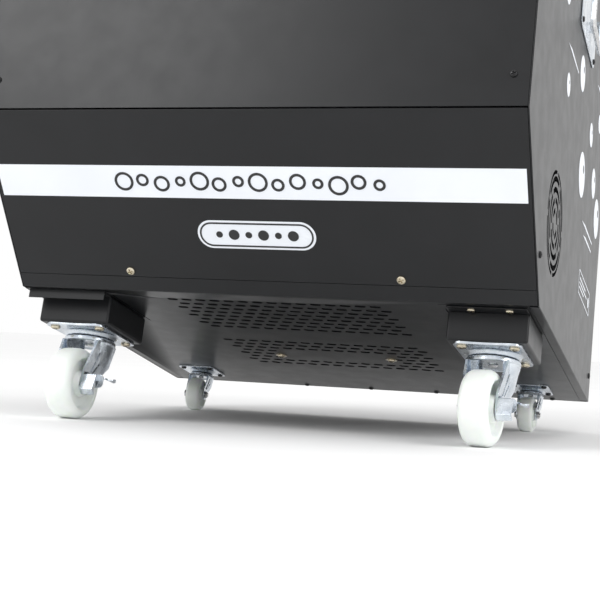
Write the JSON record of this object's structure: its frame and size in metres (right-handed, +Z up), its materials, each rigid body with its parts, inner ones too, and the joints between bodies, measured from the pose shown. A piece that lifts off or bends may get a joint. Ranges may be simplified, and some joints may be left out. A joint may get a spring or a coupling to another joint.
{
  "type": "bubble machine",
  "caption": "Nose-up steel cabinet on swivel casters, with rotating bubble wheels behind a front outlet, blowers, fluid tank, side handles and rear controls.",
  "frame": {"origin": "on the floor, under the centre of the bounding box", "axes": "+X to the right of the machine seen from the front, +Y to its back, +Z up; the front faces -Y"},
  "size_m": [0.6046, 0.7004, 0.7718],
  "materials": {
    "bearing_bronze": "sintered bronze",
    "belt_rubber": "moulded belt rubber",
    "black_plastic": "black moulded plastic",
    "black_powder_coat": "satin black powder coat",
    "bright_steel": "bright steel",
    "galvanised_sheet": "galvanised sheet",
    "lever_red": "red painted lever",
    "tank_plastic": "natural moulded plastic",
    "tap_brass": "turned brass",
    "wand_plastic": "blue moulded plastic",
    "white_nylon": "off-white moulded nylon",
    "zinc_plate": "bright zinc plating"
  },
  "bodies": {
    "cabinet": {"base_pan": "black_powder_coat", "bulkhead": "galvanised_sheet", "control_panel": "black_powder_coat", "cooling_fan_frame": "black_plastic", "drain_tap_body": "tap_brass", "drive_belt": "belt_rubber", "drive_motor": "bright_steel", "fluid_tank": "tank_plastic", "front_left_caster_plate": "zinc_plate", "front_right_caster_plate": "zinc_plate", "fuse_cap": "black_plastic", "left_blower_housing": "black_plastic", "left_caster_spacer": "black_powder_coat", "left_handle_plate": "zinc_plate", "left_side_panel": "black_powder_coat", "left_wand_bush": "bearing_bronze", "lower_front_panel": "black_powder_coat", "mains_inlet": "black_plastic", "outlet_panel": "black_powder_coat", "power_supply": "galvanised_sheet", "rear_left_caster_plate": "zinc_plate", "rear_panel": "black_powder_coat", "rear_right_caster_plate": "zinc_plate", "right_blower_housing": "black_plastic", "right_caster_spacer": "black_powder_coat", "right_handle_plate": "zinc_plate", "right_side_panel": "black_powder_coat", "right_wand_bush": "bearing_bronze", "top_cover": "black_powder_coat"},
    "front_left_swivel": {"front_left_caster_fork": "zinc_plate", "front_left_caster_axle": "bright_steel"},
    "front_left_wheel": {"front_left_caster_wheel": "white_nylon"},
    "front_left_brake": {"front_left_caster_brake_lever": "zinc_plate"},
    "front_right_swivel": {"front_right_caster_fork": "zinc_plate", "front_right_caster_axle": "bright_steel"},
    "front_right_wheel": {"front_right_caster_wheel": "white_nylon"},
    "front_right_brake": {"front_right_caster_brake_lever": "zinc_plate"},
    "rear_left_swivel": {"rear_left_caster_fork": "zinc_plate", "rear_left_caster_axle": "bright_steel"},
    "rear_left_wheel": {"rear_left_caster_wheel": "white_nylon"},
    "rear_right_swivel": {"rear_right_caster_fork": "zinc_plate", "rear_right_caster_axle": "bright_steel"},
    "rear_right_wheel": {"rear_right_caster_wheel": "white_nylon"},
    "left_wand": {"left_wand_wheel": "wand_plastic", "left_wand_shaft": "bright_steel", "left_wand_pulley": "black_plastic"},
    "right_wand": {"right_wand_wheel": "wand_plastic", "right_wand_shaft": "bright_steel", "right_wand_pulley": "black_plastic"},
    "drive": {"drive_pulley": "black_plastic"},
    "left_blower": {"left_blower_impeller": "galvanised_sheet"},
    "right_blower": {"right_blower_impeller": "galvanised_sheet"},
    "cooling_fan": {"cooling_fan_rotor": "black_plastic"},
    "lid": {"fill_lid": "black_powder_coat"},
    "left_handle": {"left_handle_bail": "bright_steel"},
    "right_handle": {"right_handle_bail": "bright_steel"},
    "tap": {"drain_tap_lever": "lever_red"},
    "rocker": {"power_rocker": "black_plastic"},
    "knob": {"speed_knob": "black_plastic"}
  },
  "joints": [
    {"name": "front_left_swivel_turn", "type": "hinge", "parent": "cabinet", "child": "front_left_swivel", "pos_m": [-0.2305, -0.17215, 0.09504], "axis": [0, 0.2265, 0.974], "continuous": true},
    {"name": "front_left_wheel_spin", "type": "hinge", "parent": "front_left_swivel", "child": "front_left_wheel", "pos_m": [-0.23144, -0.21288, 0.03901], "axis": [0.9994, -0.034, 0.0079], "continuous": true},
    {"name": "front_left_brake_press", "type": "hinge", "parent": "front_left_swivel", "child": "front_left_brake", "pos_m": [-0.23144, -0.21288, 0.03901], "axis": [0.9994, -0.034, 0.0079], "range_deg": [0, 20]},
    {"name": "front_right_swivel_turn", "type": "hinge", "parent": "cabinet", "child": "front_right_swivel", "pos_m": [0.2305, -0.17215, 0.09504], "axis": [0, 0.2265, 0.974], "continuous": true},
    {"name": "front_right_wheel_spin", "type": "hinge", "parent": "front_right_swivel", "child": "front_right_wheel", "pos_m": [0.22768, -0.21275, 0.03898], "axis": [0.9945, -0.1018, 0.0237], "continuous": true},
    {"name": "front_right_brake_press", "type": "hinge", "parent": "front_right_swivel", "child": "front_right_brake", "pos_m": [0.22768, -0.21275, 0.03898], "axis": [0.9945, -0.1018, 0.0237], "range_deg": [0, 20]},
    {"name": "rear_left_swivel_turn", "type": "hinge", "parent": "cabinet", "child": "rear_left_swivel", "pos_m": [-0.2215, 0.14895, 0.05311], "axis": [0, 0.2265, 0.974], "continuous": true},
    {"name": "rear_left_wheel_spin", "type": "hinge", "parent": "rear_left_swivel", "child": "rear_left_wheel", "pos_m": [-0.22004, 0.12723, 0.0212], "axis": [0.9945, 0.1018, -0.0237], "continuous": true},
    {"name": "rear_right_swivel_turn", "type": "hinge", "parent": "cabinet", "child": "rear_right_swivel", "pos_m": [0.2215, 0.14895, 0.05311], "axis": [0, 0.2265, 0.974], "continuous": true},
    {"name": "rear_right_wheel_spin", "type": "hinge", "parent": "rear_right_swivel", "child": "rear_right_wheel", "pos_m": [0.22101, 0.12717, 0.02122], "axis": [0.9994, -0.034, 0.0079], "continuous": true},
    {"name": "left_wand_spin", "type": "hinge", "parent": "cabinet", "child": "left_wand", "pos_m": [-0.122, -0.23844, 0.55933], "axis": [0, 0.974, -0.2265], "continuous": true},
    {"name": "right_wand_spin", "type": "hinge", "parent": "cabinet", "child": "right_wand", "pos_m": [0.122, -0.23844, 0.55933], "axis": [0, 0.974, -0.2265], "continuous": true},
    {"name": "drive_spin", "type": "hinge", "parent": "cabinet", "child": "drive", "pos_m": [0, -0.1595, 0.47937], "axis": [0, 0.974, -0.2265], "continuous": true},
    {"name": "left_blower_spin", "type": "hinge", "parent": "cabinet", "child": "left_blower", "pos_m": [-0.122, -0.04013, 0.55119], "axis": [1, 0, 0], "continuous": true},
    {"name": "right_blower_spin", "type": "hinge", "parent": "cabinet", "child": "right_blower", "pos_m": [0.122, -0.04013, 0.55119], "axis": [1, 0, 0], "continuous": true},
    {"name": "cooling_fan_spin", "type": "hinge", "parent": "cabinet", "child": "cooling_fan", "pos_m": [0.2632, -0.15641, 0.23224], "axis": [1, 0, 0], "continuous": true},
    {"name": "lid_hinge", "type": "hinge", "parent": "cabinet", "child": "lid", "pos_m": [0, -0.13836, 0.74683], "axis": [-1, 0, 0], "range_deg": [0, 110]},
    {"name": "left_handle_fold", "type": "hinge", "parent": "cabinet", "child": "left_handle", "pos_m": [-0.2963, 0.05229, 0.50711], "axis": [0, 0.974, -0.2265], "range_deg": [0, 90]},
    {"name": "right_handle_fold", "type": "hinge", "parent": "cabinet", "child": "right_handle", "pos_m": [0.2963, 0.05229, 0.50711], "axis": [0, -0.974, 0.2265], "range_deg": [0, 90]},
    {"name": "tap_turn", "type": "hinge", "parent": "cabinet", "child": "tap", "pos_m": [-0.2, 0.25165, 0.11814], "axis": [0, 0.2265, 0.974], "range_deg": [0, 90]},
    {"name": "rocker_tilt", "type": "hinge", "parent": "cabinet", "child": "rocker", "pos_m": [0.145, 0.29306, 0.36898], "axis": [1, 0, 0], "range_deg": [0, 18]},
    {"name": "speed_turn", "type": "hinge", "parent": "cabinet", "child": "knob", "pos_m": [0.215, 0.29335, 0.36891], "axis": [0, -0.974, 0.2265], "range_deg": [0, 270]}
  ],
  "couplings": [
    {"joint": "right_wand_spin", "follows": "left_wand_spin", "ratio": 1},
    {"joint": "drive_spin", "follows": "left_wand_spin", "ratio": 1.5}
  ]
}
